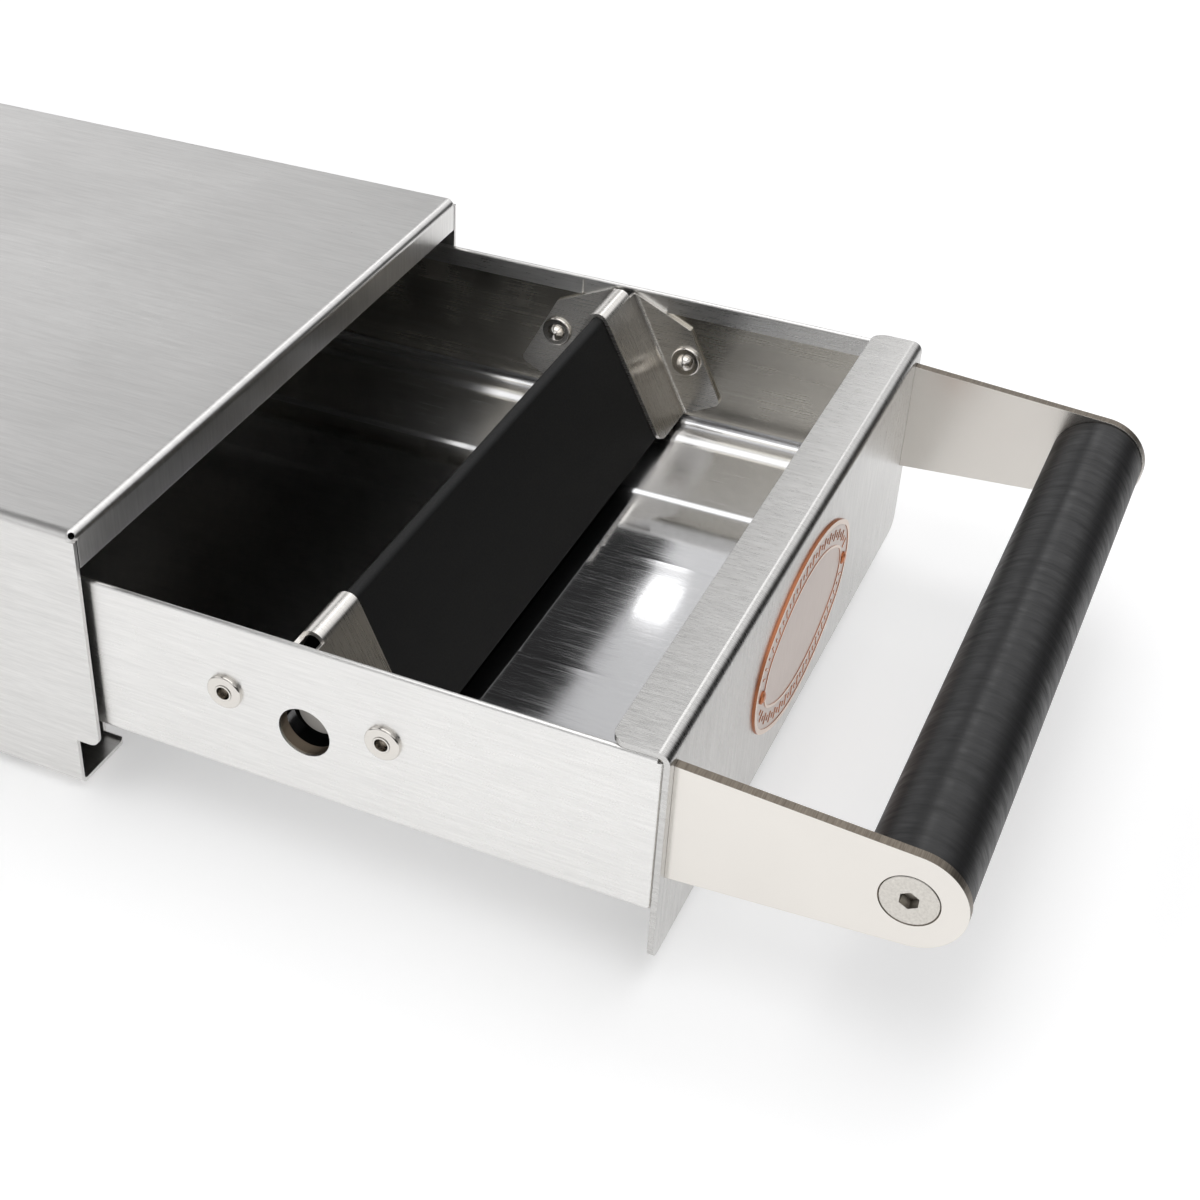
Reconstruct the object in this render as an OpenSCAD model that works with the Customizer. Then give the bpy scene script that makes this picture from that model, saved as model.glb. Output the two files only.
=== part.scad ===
// Knock box drawer: a folded stainless housing that stands under a coffee machine, with a drawer for
// spent coffee. The drawer is drawn at the place where it is pulled out by pull_out. X is the width, the
// front looks along -Y, and the feet stand on z = 0. The origin is at the middle of the ground that the
// whole object covers.

/* [Housing] */
// Width over the side walls
housing_w = 210; // [190:1:260]
// Depth from the front edge to the back
housing_d = 330; // [290:5:420]
// Height from the underside of the bottom flange to the top
housing_h = 82; // [79:0.5:86]
// Thickness of the housing sheet
sheet_t = 1.2; // [1:0.1:1.6]
// Inside radius of the folds of the housing
sheet_bend = 1.2; // [0.8:0.1:1.6]
// Height of the lip that is folded down at the front
lip_h = 10.5; // [7:0.5:12]
// Gap between the end of the lip and the side wall
lip_gap = 0.5; // [0.3:0.1:1]
// Width of the bottom flange, over the wall and the runner
flange_w = 20; // [16:0.5:26]
// Depth of the notch at the foot of each side wall, where the front plate closes
notch_d = 7; // [5:0.5:10]
// Height of that notch
notch_h = 15.5; // [13:0.5:17]
// Radius of the rounded corner above the notch
notch_r = 3; // [1:0.5:4]
// Radius of the relief hole where the top, the side and the lip meet
relief_r = 0.85; // [0.6:0.05:1]
// Depth of the side flanges of the back panel
panel_flange = 14; // [12:0.5:20]
// Height of the rubber feet
foot_h = 2.5; // [2:0.5:6]
// Radius of a rubber foot
foot_r = 6; // [4:0.5:7]
// Distance from the front and the back to the middle of a foot
foot_inset = 32; // [20:1:60]
// Length of the rubber bumpers that stop the closing drawer
bumper_h = 12; // [11:0.5:16]
// Radius of a bumper
bumper_r = 6; // [4:0.5:8]
// Spacing of the two bumpers
bumper_pitch = 120; // [60:5:140]

/* [Runners] */
// Height of the underside of the drawer above the underside of the housing
runner_h = 21; // [19.5:0.5:23]
// Height of the plastic glide that is pushed over a runner
glide_h = 7; // [4:0.5:9]
// Wall thickness of the glide
glide_t = 1; // [0.8:0.1:1.5]
// Gap between the glides and the underside of the drawer
slide_gap = 0.3; // [0.2:0.05:0.5]

/* [Drawer] */
// Gap between the side walls of the drawer and of the housing
side_gap = 1.8; // [1.8:0.1:6]
// Gap between the rim of the drawer and the lower edge of the housing's lip
rim_gap = 4.5; // [3:0.5:7]
// Thickness of the drawer sheet
tray_t = 0.8; // [0.6:0.1:0.8]
// Inside radius of the folds of the drawer box
tray_bend = 0.7; // [0.5:0.1:1]
// Height of the inner leaf of the folded rim
hem_h = 6; // [4:0.5:8]
// Width of the flange along the underside of each side wall
side_flange = 27; // [24:1:32]
// Width of the flange along the underside of the front and the back wall
end_flange = 12; // [8:1:20]
// Distance that the drawer is pulled out
pull_out = 152; // [100:1:180]

/* [Floor pan] */
// Distances from the side wall to the three creases of the floor, the outermost first
edge_inset = 13.2; // [12:0.2:20]
crease_inset = 45.2; // [40:0.2:50]
flat_inset = 73.2; // [68:0.2:76]
// Rise of the floor at the crease and at the edge
crease_rise = 0.4; // [0.2:0.1:0.8]
edge_rise = 1.1; // [1:0.1:1.6]
// Height of the edge of the pan above its middle, on the wall
pan_h = 5; // [5:0.5:8]
// Middle radius of the round fold between the floor and that edge
pan_fold_r = 2.6; // [1:0.1:2.8]
// Half width of the soft creases
crease_half = 3.5; // [1:0.5:5]

/* [Front plate] */
// Thickness of the front plate
plate_t = 1.5; // [1.2:0.1:2]
// Inside radius of its fold
plate_bend = 1.5; // [1:0.1:2]
// Depth of its lip over the rim of the drawer
plate_lip = 14.4; // [12:0.2:18]
// Gap between that lip and the rim
plate_rest = 0.3; // [0.1:0.1:0.6]
// Height of its lower edge above the underside of the housing
plate_low = 5.2; // [4:0.2:12]
// Radius of its corners at the foot and at the lip
plate_r = 4; // [2:0.5:5]

/* [Handle] */
// Distance from the front plate to the middle of the grip
grip_reach = 54.5; // [45:0.5:70]
// Distance from the rim of the drawer down to the middle of the grip
grip_drop = 20; // [18:0.5:22]
// Radius of the grip
grip_r = 12.5; // [11:0.5:13]
// Wall of the grip tube
grip_wall = 2.5; // [2:0.25:3]
// Thickness of a handle arm
arm_t = 2.5; // [2:0.25:3]
// Distance from the side of the drawer to the outer face of an arm
arm_inset = 3.1; // [2.5:0.1:4]
// Height of an arm at the front plate
arm_root_h = 33.6; // [29:0.2:36]
// Radius of the round end of an arm
arm_end_r = 13; // [12:0.5:14]
// Width of the foot of an arm, inside the drawer
arm_foot = 22; // [20:1:26]
// Gap round an arm in its slot
slot_gap = 0.15; // [0.1:0.05:0.3]
// Length of the threaded plugs in the ends of the grip
plug_l = 24; // [22:1:30]
// Spacing of the two studs that hold an arm and the plate
stud_pitch = 17; // [14:1:19]

/* [Knock bar] */
// Distance from the front plate to the knock bar
bar_y = 92; // [84:1:110]
// Angle between a flank of the bar and the vertical
bar_angle = 26.7; // [25:0.5:28]
// Height of the crest of the brackets above the rim of the drawer
crest_h = 0.7; // [0:0.1:1.5]
// Outer radius of the crest
crest_r = 3.5; // [3:0.1:4]
// Thickness of the bracket sheet
bracket_t = 1.2; // [1:0.1:1.5]
// Inside radius of the fold between a flank and its wing
bracket_bend = 1.2; // [0.8:0.1:1.5]
// Gap between the foot of a bracket and the edge of the floor pan
foot_gap = 0.55; // [0.4:0.05:3]
// Width of a wing
wing_w = 13; // [12:0.5:15]
// Distance from the side of the drawer to the inner end of a bracket
bracket_reach = 23.5; // [20:0.5:30]
// Slant of that end from the crest to the foot
bracket_slant = 1.6; // [0:0.1:3]
// Radius of the corner at its foot
foot_corner = 4; // [1:0.5:5]
// Gap between the bracket and the rubber bar
bar_fit = 0.1; // [0.05:0.05:0.2]
// Wall of the rubber bar
bar_wall = 5; // [4:0.5:6]
// Radius of the steel rod inside the bar
rod_r = 6; // [5:0.5:6.5]
// Distance from the top of the crest down to the rod
rod_drop = 26.7; // [25.7:0.1:28.7]
// Radius of the round hole in the side wall
eye_r = 7; // [6:0.5:7]
// Radius of the collar behind that hole
collar_r = 9.5; // [9:0.5:10.5]
// Length of the collar
collar_l = 3.2; // [2:0.2:4]

/* [Rivets] */
// Radius of a rivet's shank
rivet_r = 2.4; // [2:0.1:2.4]
// Radius of its flange
rivet_flange_r = 4.75; // [4:0.05:5]
// Thickness of its flange
rivet_flange_t = 1.2; // [0.8:0.1:1.2]
// Thickness of the disc on the blind side
rivet_back_t = 1.1; // [0.8:0.1:1.5]
// Radius of the dome on that disc
rivet_dome_r = 2.7; // [2.4:0.1:3.2]
// Radius of the hole that its mandrel leaves
rivet_hole_r = 1.8; // [1:0.05:1.8]
// Distance from the flank of a bracket to the rivet in its wing
rivet_w = 7.8; // [7:0.1:8.5]
// Distance from the top of the crest down to the rivets of the knock bar
rivet_drop = 21.4; // [19.7:0.1:22.7]

/* [Badge] */
// Half the width of the oval badge
badge_a = 39; // [32:0.5:45]
// Half its height
badge_b = 24; // [22:0.5:26]
// Thickness of the badge
badge_t = 0.6; // [0.5:0.1:1.5]
// Height of its raised lines
badge_relief = 0.2; // [0.2:0.1:0.5]
// Distance of its middle below the middle of the front plate
badge_drop = 1; // [0:0.5:2]

/* [Hidden] */
$fn = 64;

// A little more than nothing, by which a cut passes the face that it opens
past = 1;
// Radial gap of a shank in its hole
shank_gap = 0.05;

// Heights
base_z = foot_h;
top_z = base_z + housing_h;
drawer_z = base_z + runner_h;
drawer_h = housing_h - runner_h - lip_h - rim_gap;
rim_z = drawer_z + drawer_h;
grip_axis_z = rim_z - grip_drop;
root_low = grip_axis_z - arm_root_h / 2;

// Depths: the front of the housing, and the front face of the pulled-out drawer
front = (pull_out + grip_reach + arm_end_r - housing_d) / 2;
rear = front + housing_d;
face = front - pull_out;
plate_back = face + plate_t;
box_inner = plate_back + tray_t;
stop_gap = 0.3;
drawer_d = housing_d - sheet_t - bumper_h - stop_gap;
drawer_rear = face + drawer_d;
bar_mid = face + bar_y;
grip_axis_y = face - grip_reach;

// Half widths
side_x = housing_w / 2;
wall_x = side_x - sheet_t - side_gap;
wall_in = wall_x - tray_t;
arm_out = wall_x - arm_inset;
arm_in = arm_out - arm_t;

// Outer radii of the folds
sheet_round = sheet_bend + sheet_t;
tray_round = tray_bend + tray_t;
// Angle between the vertical and the diagonal of a corner
corner_tilt = acos(1 / sqrt(3));

// Runners: the middle of their sheet, and their upper edge, which carries the glide
runner_x = side_x - flange_w + sheet_t / 2;
runner_top = drawer_z - slide_gap - glide_t;
glide_inset = 1;
// The runners begin this far behind the notch
runner_setback = 6;

// The front wall of the drawer ends this far below the rim, to clear the fold of the plate
front_drop = plate_bend - plate_rest;
lip_top = rim_z + plate_rest + plate_t;
plate_bottom = base_z + plate_low;

// Floor pan: the middle of its sheet at x = 0, the rise to the fold at the wall, and the relief that keeps
// its edge clear of the collars where they come down to it
pan_z = drawer_z + 1.5 * tray_t;
pan_wall = 2;
crease_steps = 6;
collar_relief = 0.5;

// Rivets of the back panel: their distance from the back, and their heights above the base
panel_rivet_y = 7;
panel_rivet_z = [0.25 * housing_h, 0.75 * housing_h];
panel_gap = 0.1;

// Studs of the front plate: M4, with domed nuts inside the drawer
stud_r = 2;
stud_x = arm_in - 0.55 * arm_foot;
stud_heights = [grip_axis_z - stud_pitch / 2, grip_axis_z + stud_pitch / 2];
nut_r = 4;
nut_h = 3.2;
nut_dome_r = 3.2;
nut_dome_h = 6.4;
nut_bore = 5.4;
stud_end = plate_back + tray_t + arm_t + nut_bore - 0.2;

// Handle screws: M6 countersunk, with a hexagon socket, and the sink in the arm round the head
screw_head_r = 6.7;
screw_r = 3;
screw_l = 22;
socket_r = 2.4;
socket_depth = 3;
head_edge = 0.15;
head_gap = 0.1;
sink_r = screw_head_r + head_edge + head_gap;
screw_tip = 0.6;
arm_bend = 1;

// Badge: the radius of its ends, its rim, its inner line and its pins
badge_z = (plate_bottom + lip_top) / 2 - badge_drop;
badge_end_r = 17;
badge_rim = 1.4;
badge_line = 7.2;
badge_pin_inset = 5;
badge_pin_x = badge_a - badge_pin_inset;
badge_pin_r = 1;
pin_head_r = 1.8;
pin_head_t = 0.9;

// Knock bar: the outer flanks would meet at the apex, and run down to the foot
crest_top_z = rim_z + crest_h;
crest_mid_z = crest_top_z - crest_r;
flank_apex_z = crest_mid_z + crest_r / sin(bar_angle);
flank_foot_z = pan_z + pan_h + foot_gap;
flank_l = (flank_apex_z - flank_foot_z) / cos(bar_angle);
flank_top = crest_r / tan(bar_angle);
bracket_in = wall_x - bracket_reach;
foot_in = bracket_in + bracket_slant;
// The wing begins just below the crest, and its upper edge falls by the slope
wing_start = 0.3;
wing_top = flank_top + wing_start;
wing_slope = 1.25;
wing_corner = 2;
// The crest, the rubber bar and the rod end this far from the side wall
crest_setback = 5;
bar_setback = 9;
rod_setback = 7.2;
crest_end = wall_in - crest_setback;
bar_end = wall_in - bar_setback;
rod_end = wall_in - rod_setback;
bar_foot = 1;
rod_axis_z = crest_top_z - rod_drop;
boss_wall = 3;
boss_r = rod_r + boss_wall;
// Relief in the folded rim, where the top of the wings stands behind it
wing_top_z = flank_apex_z - wing_top * cos(bar_angle);
wing_fall = (wing_slope * cos(bar_angle) - sin(bar_angle)) / (cos(bar_angle) + wing_slope * sin(bar_angle));
relief_half = wing_top * sin(bar_angle) + (wing_top_z - rim_z + hem_h) / wing_fall + past;
// Where the rivet sits between the flank and the edge of the wing
rivet_axis_z = crest_top_z - rivet_drop;
rivet_y = (flank_apex_z - rivet_axis_z) * tan(bar_angle) + rivet_w / cos(bar_angle);

// Where the rivets of the knock bar sit on one side: Y and Z
bar_rivet_places = [for (s = [-1, 1]) [bar_mid + s * rivet_y, rivet_axis_z]];
// Where the rivets of the back panel sit on one side: Y and Z
panel_rivet_places = [for (h = panel_rivet_z) [rear - panel_rivet_y, base_z + h]];
// Where the studs of the front plate and the pins of the badge sit: X and Z
stud_places = [for (s = [-1, 1]) for (z = stud_heights) [s * stud_x, z]];
badge_pin_places = [for (s = [-1, 1]) [s * badge_pin_x, badge_z]];

// A 2D drawing in X and Z, drawn out along Y from y0 to y1
module along_y(y0, y1) {
    translate([0, y1, 0]) rotate([90, 0, 0]) linear_extrude(y1 - y0) children();
}

// A 2D drawing in Y and Z, drawn out along X from x0 to x1
module along_x(x0, x1) {
    translate([x0, 0, 0]) rotate([90, 0, 90]) linear_extrude(x1 - x0) children();
}

// The children as they are, and mirrored to the other side
module both_sides() {
    children();
    mirror([1, 0, 0]) children();
}

// Part of a flat ring, from the first axis round to the angle
module ring_part(r_in, r_out, angle) {
    reach = 2 * r_out;
    half = angle / 2;
    intersection() {
        difference() {
            circle(r_out);
            circle(r_in);
        }
        polygon([[0, 0], [reach, 0], reach * [cos(half), sin(half)], reach * [cos(angle), sin(angle)]]);
    }
}

// Direction of one leg of a path, and the turn between two directions
function leg(path, i) = (path[i + 1] - path[i]) / norm(path[i + 1] - path[i]);
function turn(a, b) = atan2(a[0] * b[1] - a[1] * b[0], a[0] * b[0] + a[1] * b[1]);
// Whether a corner of a path lies between two legs
function bent(path, i) = i > 0 && i < len(path) - 1;
// Length that a fold takes from both legs at its corner
function taken(path, t, r_in, i) =
    bent(path, i) ? (r_in + t / 2) * tan(abs(turn(leg(path, i - 1), leg(path, i))) / 2) : 0;

// Section of a folded sheet: straight legs along the middle of the sheet, with round folds between them
module folded(path, t, r_in) {
    for (i = [0 : len(path) - 2]) {
        way = leg(path, i);
        from = taken(path, t, r_in, i);
        to = taken(path, t, r_in, i + 1);
        translate(path[i] + way * from) rotate(atan2(way[1], way[0]))
            translate([0, -t / 2]) square([norm(path[i + 1] - path[i]) - from - to, t]);
    }
    for (i = [1 : len(path) - 2]) {
        way = leg(path, i - 1);
        bend = turn(way, leg(path, i));
        side = sign(bend);
        r = r_in + t / 2;
        middle = path[i] - way * taken(path, t, r_in, i) + side * r * [-way[1], way[0]];
        translate(middle) rotate(atan2(way[1], way[0]) - side * 90) mirror([0, side > 0 ? 0 : 1])
            ring_part(r_in, r_in + t, abs(bend));
    }
}

// Direction in which a corner of a path is moved sideways, so that both its legs move by one
function sideways(path, i) =
    let (a = leg(path, max(i - 1, 0)), b = leg(path, min(i, len(path) - 2)), n = [-a[1] - b[1], a[0] + b[0]])
    n / (n * [-a[1], a[0]]);

// Section of a sheet along a path of many small turns, along the middle of the sheet
module creased(path, t) {
    upper = [for (i = [0 : len(path) - 1]) path[i] + sideways(path, i) * t / 2];
    lower = [for (i = [len(path) - 1 : -1 : 0]) path[i] - sideways(path, i) * t / 2];
    polygon(concat(upper, lower));
}

// Cut that rounds an outer corner: the corner is at the origin, and the piece lies towards -x and -y
module corner_cut(r) {
    difference() {
        translate([-r, -r]) square(r + past);
        translate([-r, -r]) circle(r);
    }
}

// Corner where three folds meet: an eighth of a hollow ball, towards the signs given
module ball_corner(r, t, signs) {
    intersection() {
        difference() {
            sphere(r);
            sphere(r - t);
        }
        translate([min(signs[0], 0), min(signs[1], 0), min(signs[2], 0)] * r * 2) cube(2 * r);
    }
}

// Oval of four arcs, with half widths a and b and ends of radius r
module oval(a, b, r) {
    end_x = a - r;
    slim = b - r;
    drop = (end_x * end_x - slim * slim) / (2 * slim);
    big_r = b + drop;
    meet_x = end_x * big_r / (big_r - r);
    intersection() {
        translate([0, -drop]) circle(big_r, $fn = 128);
        translate([0, drop]) circle(big_r, $fn = 128);
        translate([-meet_x, -b]) square([2 * meet_x, 2 * b]);
    }
    for (s = [-1, 1]) {
        translate([s * end_x, 0]) circle(r);
    }
}

// Round holes through both side walls: places in Y and Z
module side_holes(places, r, half_width) {
    for (p = places) {
        translate([-half_width - past, p[0], p[1]]) rotate([0, 90, 0])
            cylinder(r = r, h = 2 * (half_width + past));
    }
}

// Round holes along Y, from y0 to y1: places in X and Z
module front_holes(places, r, y0, y1) {
    for (p = places) {
        translate([p[0], y1, p[1]]) rotate([90, 0, 0]) cylinder(r = r, h = y1 - y0);
    }
}

// Half section of a disc on the axis, from 0 up to t, with its upper edge rounded
module soft_disc(r, t) {
    soft = t / 2;
    square([r - soft, t]);
    square([r, t - soft]);
    translate([r - soft, t - soft]) circle(soft);
}

// Blind rivet along +X: its flange with a bead lies outside x = 0, a disc and a dome behind the sheets
module blind_rivet(grip) {
    bead = 0.2;
    bead_w = 0.45;
    hole_depth = 4.2;
    rotate([0, 90, 0]) rotate_extrude() difference() {
        union() {
            mirror([0, 1]) soft_disc(rivet_flange_r, rivet_flange_t);
            translate([0, -rivet_flange_t - bead]) square([rivet_hole_r + bead_w, bead + rivet_flange_t]);
            square([rivet_r, grip + rivet_back_t]);
            translate([0, grip]) soft_disc(rivet_flange_r, rivet_back_t);
            intersection() {
                translate([0, grip + rivet_back_t]) circle(rivet_dome_r);
                translate([0, grip]) square(2 * rivet_dome_r);
            }
        }
        translate([0, -rivet_flange_t - past]) square([rivet_hole_r, hole_depth + past]);
    }
}

// HOUSING

module housing_section() {
    skin = side_x - sheet_t / 2;
    floor_mid = base_z + sheet_t / 2;
    top_mid = top_z - sheet_t / 2;
    folded([[-runner_x, runner_top], [-runner_x, floor_mid], [-skin, floor_mid], [-skin, top_mid],
            [skin, top_mid], [skin, floor_mid], [runner_x, floor_mid], [runner_x, runner_top]],
           sheet_t, sheet_bend);
}

// Cut at the foot of the side walls, with the rounded corner above it: Y and Z
module notch_cut() {
    translate([front - past, base_z - past]) square([notch_d + past, notch_h + past]);
    translate([front, base_z + notch_h]) rotate(180) corner_cut(notch_r);
}

// Takes the runners away from y0 to y1, down to the flat of the bottom flanges
module runner_cut(y0, y1) {
    half = runner_x + sheet_t / 2;
    translate([-half, y0, base_z - past]) cube([2 * half, y1 - y0, runner_h + past]);
}

module housing_shell() {
    lip_end = side_x - sheet_t - lip_gap;
    fold_end = side_x - sheet_round;
    color("silver") difference() {
        union() {
            along_y(front + sheet_round, rear) housing_section();
            along_y(front, front + sheet_round) intersection() {
                housing_section();
                translate([-side_x, base_z]) square([housing_w, housing_h - sheet_round]);
            }
            along_x(-fold_end, fold_end) translate([front + sheet_round, top_z - sheet_round]) rotate(90)
                ring_part(sheet_bend, sheet_round, 90);
            along_x(-lip_end, lip_end) translate([front, top_z - lip_h])
                square([sheet_t, lip_h - sheet_round]);
            both_sides() translate([-fold_end, front + sheet_round, top_z - sheet_round])
                ball_corner(sheet_round, sheet_t, [-1, -1, 1]);
        }
        along_x(-side_x - past, side_x + past) notch_cut();
        both_sides() translate([-fold_end, front + sheet_round, top_z - sheet_round])
            rotate([0, corner_tilt, 225]) cylinder(r = relief_r, h = sheet_round + past);
        runner_cut(front - past, front + notch_d + runner_setback);
        runner_cut(rear - panel_flange - past, rear + past);
        side_holes(panel_rivet_places, rivet_r + shank_gap, side_x);
    }
}

module rear_panel() {
    skin = side_x - sheet_t - panel_gap - sheet_t / 2;
    back_mid = rear - sheet_t / 2;
    low = base_z + sheet_round;
    color("silver") difference() {
        translate([0, 0, low]) linear_extrude(housing_h - 2 * sheet_round)
            folded([[-skin, rear - panel_flange], [-skin, back_mid],
                    [skin, back_mid], [skin, rear - panel_flange]],
                   sheet_t, sheet_bend);
        side_holes(panel_rivet_places, rivet_r + shank_gap, side_x);
    }
}

module rear_panel_rivets() {
    color("gainsboro") both_sides() {
        for (p = panel_rivet_places) {
            translate([-side_x, p[0], p[1]]) blind_rivet(2 * sheet_t + panel_gap);
        }
    }
}

// Round rubber button standing on z = 0, its free edge softened
module rubber_button(r, h) {
    soft = h / 4;
    rotate_extrude() {
        translate([0, soft]) square([r, h - soft]);
        square([r - soft, h]);
        translate([r - soft, soft]) circle(soft);
    }
}

module rubber_feet() {
    color("black") both_sides() {
        for (y = [front + foot_inset, rear - foot_inset]) {
            translate([side_x - flange_w / 2, y, 0]) rubber_button(foot_r, foot_h);
        }
    }
}

module rear_bumpers() {
    color("black") both_sides() {
        translate([bumper_pitch / 2, rear - sheet_t - bumper_h, drawer_z + drawer_h / 2]) rotate([-90, 0, 0])
            rubber_button(bumper_r, bumper_h);
    }
}

module glide() {
    half = sheet_t / 2 + glide_t;
    top = drawer_z - slide_gap;
    glide_front = front + notch_d + runner_setback + glide_inset;
    glide_rear = rear - panel_flange - past - glide_inset;
    color("dimgray") along_y(glide_front, glide_rear) difference() {
        translate([runner_x - half, top - glide_h]) square([2 * half, glide_h]);
        translate([runner_x - sheet_t / 2, top - glide_h - past]) square([sheet_t, glide_h + past - glide_t]);
        translate([runner_x + half, top]) corner_cut(glide_t / 2);
        translate([runner_x - half, top]) rotate(90) corner_cut(glide_t / 2);
    }
}

module glide_left() {
    mirror([1, 0, 0]) glide();
}

module glide_right() {
    glide();
}

// DRAWER

// Closed hem at the top of a wall whose outer face is at u = 0 and whose inside is towards -u
module hem() {
    translate([-tray_t, rim_z - tray_t]) circle(tray_t);
    translate([-2 * tray_t, rim_z - hem_h]) square([tray_t, hem_h - tray_t]);
}

// Wall of the drawer with its bottom flange, outer face at u = 0: its height stops below the rim by drop
module wall_section(flange, drop) {
    floor_mid = drawer_z + tray_t / 2;
    folded([[-tray_t / 2, rim_z - drop], [-tray_t / 2, floor_mid], [-flange, floor_mid]],
           tray_t, tray_bend);
}

module drawer_box() {
    fold_x = wall_x - tray_round;
    fold_front = plate_back + tray_round;
    fold_rear = drawer_rear - tray_round;
    color("lightgray") difference() {
        union() {
            both_sides() along_y(fold_front, fold_rear) translate([wall_x, 0]) {
                wall_section(side_flange, tray_t);
                hem();
            }
            along_x(-fold_x, fold_x) translate([plate_back, 0]) mirror([1, 0])
                wall_section(end_flange, front_drop);
            along_x(-fold_x, fold_x) translate([drawer_rear, 0]) wall_section(end_flange, tray_t);
            along_x(past - fold_x, fold_x - past) translate([drawer_rear, 0]) hem();
            both_sides() {
                for (end = [[fold_front, 270, front_drop, -1], [fold_rear, 0, tray_t, 1]]) {
                    translate([fold_x, end[0], drawer_z + tray_round]) {
                        rotate(end[1]) linear_extrude(drawer_h - tray_round - end[2])
                            ring_part(tray_bend, tray_round, 90);
                        ball_corner(tray_round, tray_t, [1, end[3], -1]);
                    }
                }
            }
        }
        both_sides() translate([wall_in - tray_t - past, bar_mid - relief_half, rim_z - hem_h - past])
            cube([tray_t + past, 2 * relief_half, wing_top_z + slide_gap - rim_z + hem_h + past]);
        side_holes([[bar_mid, rod_axis_z]], eye_r, wall_x);
        side_holes(bar_rivet_places, rivet_r + shank_gap, wall_x);
        front_holes(stud_places, stud_r + shank_gap, face, box_inner + past);
        both_sides() translate([arm_in - slot_gap - arm_bend, face, root_low - slot_gap])
            cube([arm_t + arm_bend + 2 * slot_gap, box_inner + past - face, arm_root_h + 2 * slot_gap]);
    }
}

// Soft crease of a path at p, between the points before and after it
function eased(a, p, b) =
    let (from = p + crease_half * (a - p) / norm(a - p), to = p + crease_half * (b - p) / norm(b - p))
    [for (k = [0 : crease_steps])
        let (t = k / crease_steps) (1 - t) * (1 - t) * from + 2 * t * (1 - t) * p + t * t * to];

module floor_pan() {
    skin = wall_in - tray_t / 2;
    r = pan_fold_r;
    slope = atan2(pan_wall - edge_rise, skin - wall_in + edge_inset);
    middle = [skin - r, pan_wall - r * tan(slope) + r / cos(slope)];
    wall_fold = [for (k = [0 : 8])
        let (at = (slope - 90) * (1 - k / 8)) middle + r * [cos(at), sin(at)]];
    flat = [wall_in - flat_inset, 0];
    crease = [wall_in - crease_inset, crease_rise];
    edge = [wall_in - edge_inset, edge_rise];
    half = concat(eased([0, 0], flat, crease), eased(flat, crease, edge), eased(crease, edge, wall_fold[0]),
                  wall_fold, [[skin, pan_h]]);
    path = concat([for (i = [len(half) - 1 : -1 : 0]) [-half[i][0], half[i][1]]], half);
    relief_l = collar_l + collar_relief;
    color("lightgray") difference() {
        along_y(plate_back + tray_round, drawer_rear - tray_round)
            translate([0, pan_z]) creased(path, tray_t);
        both_sides() translate([wall_in - relief_l, bar_mid, rod_axis_z]) rotate([0, 90, 0])
            cylinder(r = collar_r + collar_relief, h = relief_l + past);
    }
}

module front_plate() {
    color("silver") difference() {
        union() {
            along_x(-wall_x, wall_x)
                folded([[face + plate_t / 2, plate_bottom], [face + plate_t / 2, lip_top - plate_t / 2],
                        [face + plate_lip, lip_top - plate_t / 2]], plate_t, plate_bend);
            front_holes(stud_places, stud_r, plate_back - plate_t / 2, stud_end);
        }
        both_sides() {
            along_y(face - past, plate_back + past) translate([wall_x, plate_bottom]) rotate(-90)
                corner_cut(plate_r);
            translate([wall_x, face + plate_lip, lip_top - plate_t - past])
                linear_extrude(plate_t + 2 * past) corner_cut(plate_r);
            translate([arm_in - slot_gap, face - past, root_low - slot_gap])
                cube([arm_t + 2 * slot_gap, plate_t + 2 * past, arm_root_h + 2 * slot_gap]);
        }
        front_holes(badge_pin_places, badge_pin_r + shank_gap, face - past, plate_back + past);
    }
}

module plate_nuts() {
    seat = box_inner + arm_t;
    color("gainsboro") for (p = stud_places) {
        translate([p[0], seat, p[1]]) rotate([-90, 0, 0]) difference() {
            union() {
                cylinder(r = nut_r, h = nut_h, $fn = 6);
                cylinder(r = nut_dome_r, h = nut_dome_h - nut_dome_r);
                translate([0, 0, nut_dome_h - nut_dome_r]) sphere(nut_dome_r);
            }
            translate([0, 0, -past]) cylinder(r = stud_r + shank_gap, h = nut_bore + past);
        }
    }
}

// Ring of the badge's outline, between two distances from its edge
module badge_ring(from, to) {
    difference() {
        oval(badge_a - from, badge_b - from, badge_end_r - from);
        oval(badge_a - to, badge_b - to, badge_end_r - to);
    }
}

module badge() {
    color("peru") difference() {
        union() {
            along_y(face - badge_t, face) translate([0, badge_z])
                oval(badge_a, badge_b, badge_end_r);
            along_y(face - badge_t - badge_relief, face - badge_t) translate([0, badge_z]) {
                badge_ring(0, badge_rim);
                badge_ring(badge_line, badge_line + badge_rim / 2);
            }
        }
        front_holes(badge_pin_places, badge_pin_r + shank_gap, face - 2 * badge_t - past, face + past);
    }
}

module badge_pins() {
    color("sienna") for (p = badge_pin_places) {
        translate([p[0], face - badge_t, p[1]]) rotate([90, 0, 0]) {
            translate([0, 0, -badge_t - plate_t])
                cylinder(r = badge_pin_r, h = badge_t + plate_t + pin_head_t / 2);
            cylinder(r = pin_head_r, h = pin_head_t / 2);
            translate([0, 0, pin_head_t / 2]) cylinder(r1 = pin_head_r, r2 = badge_pin_r, h = pin_head_t / 2);
        }
    }
}

// HANDLE

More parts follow.
